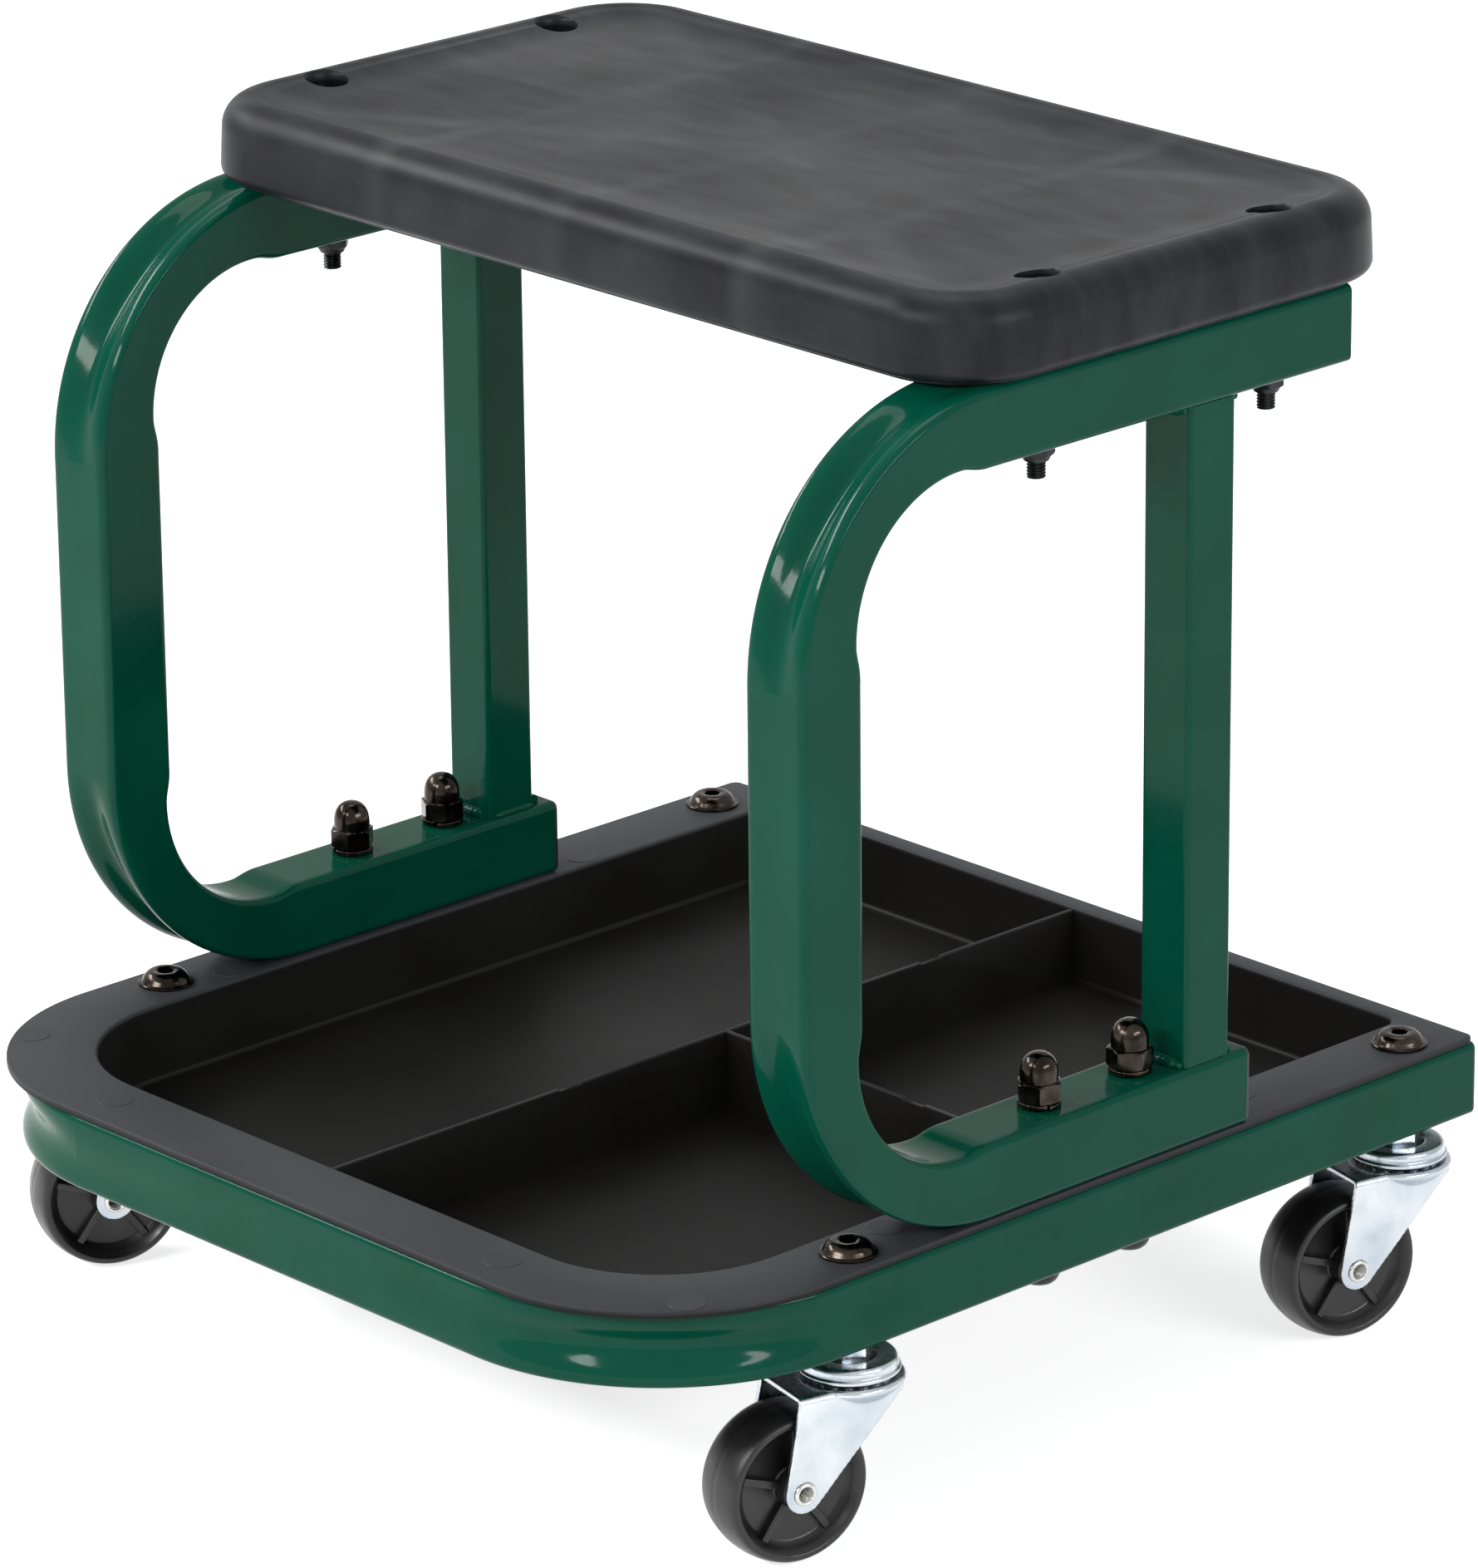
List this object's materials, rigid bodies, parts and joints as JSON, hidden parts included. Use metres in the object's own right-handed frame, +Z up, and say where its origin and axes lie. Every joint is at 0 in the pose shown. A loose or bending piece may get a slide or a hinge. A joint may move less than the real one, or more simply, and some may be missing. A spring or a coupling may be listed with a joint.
{
  "type": "creeper seat",
  "caption": "Rolling mechanic's seat: moulded top on bent square-tube side frames over a divided parts tray on swivel casters.",
  "frame": {"origin": "on the floor under the middle of the whole part's bounding box, where the wheels stand at Z = 0; the middle of the tube base lies 5.36 mm to the right of it, because the front left wheel swings out past the base", "axes": "+Z up, +X to the right over the seat's long side, -Y to the front, where the side frames bend"},
  "size_m": [0.3678, 0.362, 0.3862],
  "materials": {
    "green_paint": "dark green gloss paint on steel tube",
    "tray_plastic": "black moulded plastic, fine grain",
    "seat_plastic": "black moulded plastic, satin",
    "black_plastic": "black moulded plastic",
    "black_steel": "black zinc",
    "black_nickel": "black nickel plate",
    "zinc": "bright zinc plate",
    "ball_steel": "polished steel",
    "rivet_steel": "bright steel tube",
    "wheel_plastic": "hard black plastic, satin"
  },
  "bodies": {
    "frame": {"base_frame": "green_paint", "back_bar": "green_paint", "rail_plugs": "black_plastic", "tray": "tray_plastic", "side_frame_right": "green_paint", "side_frame_left": "green_paint", "post_right": "green_paint", "post_left": "green_paint", "weld_beads": "green_paint", "leg_plugs": "black_plastic", "seat": "seat_plastic", "seat_bolts": "black_steel", "seat_nuts": "black_steel", "frame_bolts": "black_steel", "spring_washers": "black_nickel", "cap_nuts": "black_nickel", "sleeve_nuts": "black_nickel", "stem_front_right": "zinc", "race_front_right": "zinc", "balls_front_right": "ball_steel", "stem_front_left": "zinc", "race_front_left": "zinc", "balls_front_left": "ball_steel", "stem_rear_right": "zinc", "race_rear_right": "zinc", "balls_rear_right": "ball_steel", "stem_rear_left": "zinc", "race_rear_left": "zinc", "balls_rear_left": "ball_steel"},
    "fork_front_right": {"fork_front_right": "zinc", "rivet_front_right": "rivet_steel"},
    "wheel_front_right": {"wheel_front_right": "wheel_plastic"},
    "fork_front_left": {"fork_front_left": "zinc", "rivet_front_left": "rivet_steel"},
    "wheel_front_left": {"wheel_front_left": "wheel_plastic"},
    "fork_rear_right": {"fork_rear_right": "zinc", "rivet_rear_right": "rivet_steel"},
    "wheel_rear_right": {"wheel_rear_right": "wheel_plastic"},
    "fork_rear_left": {"fork_rear_left": "zinc", "rivet_rear_left": "rivet_steel"},
    "wheel_rear_left": {"wheel_rear_left": "wheel_plastic"}
  },
  "joints": [
    {"name": "swivel_front_right", "type": "hinge", "parent": "frame", "child": "fork_front_right", "pos_m": [0.16636, -0.088, 0.0561], "axis": [0, 0, 1], "continuous": true},
    {"name": "roll_front_right", "type": "hinge", "parent": "fork_front_right", "child": "wheel_front_right", "pos_m": [0.16099, -0.11037, 0.025], "axis": [0.9724, -0.2334, 0], "continuous": true},
    {"name": "swivel_front_left", "type": "hinge", "parent": "frame", "child": "fork_front_left", "pos_m": [-0.15564, -0.088, 0.0561], "axis": [0, 0, 1], "continuous": true},
    {"name": "roll_front_left", "type": "hinge", "parent": "fork_front_left", "child": "wheel_front_left", "pos_m": [-0.16511, -0.10896, 0.025], "axis": [0.9114, -0.4115, 0], "continuous": true},
    {"name": "swivel_rear_right", "type": "hinge", "parent": "frame", "child": "fork_rear_right", "pos_m": [0.16636, 0.158, 0.0561], "axis": [0, 0, 1], "continuous": true},
    {"name": "roll_rear_right", "type": "hinge", "parent": "fork_rear_right", "child": "wheel_rear_right", "pos_m": [0.16099, 0.13564, 0.025], "axis": [0.9724, -0.2334, 0], "continuous": true},
    {"name": "swivel_rear_left", "type": "hinge", "parent": "frame", "child": "fork_rear_left", "pos_m": [-0.15564, 0.158, 0.0561], "axis": [0, 0, 1], "continuous": true},
    {"name": "roll_rear_left", "type": "hinge", "parent": "fork_rear_left", "child": "wheel_rear_left", "pos_m": [-0.16275, 0.13613, 0.025], "axis": [0.9511, -0.309, 0], "continuous": true}
  ]
}
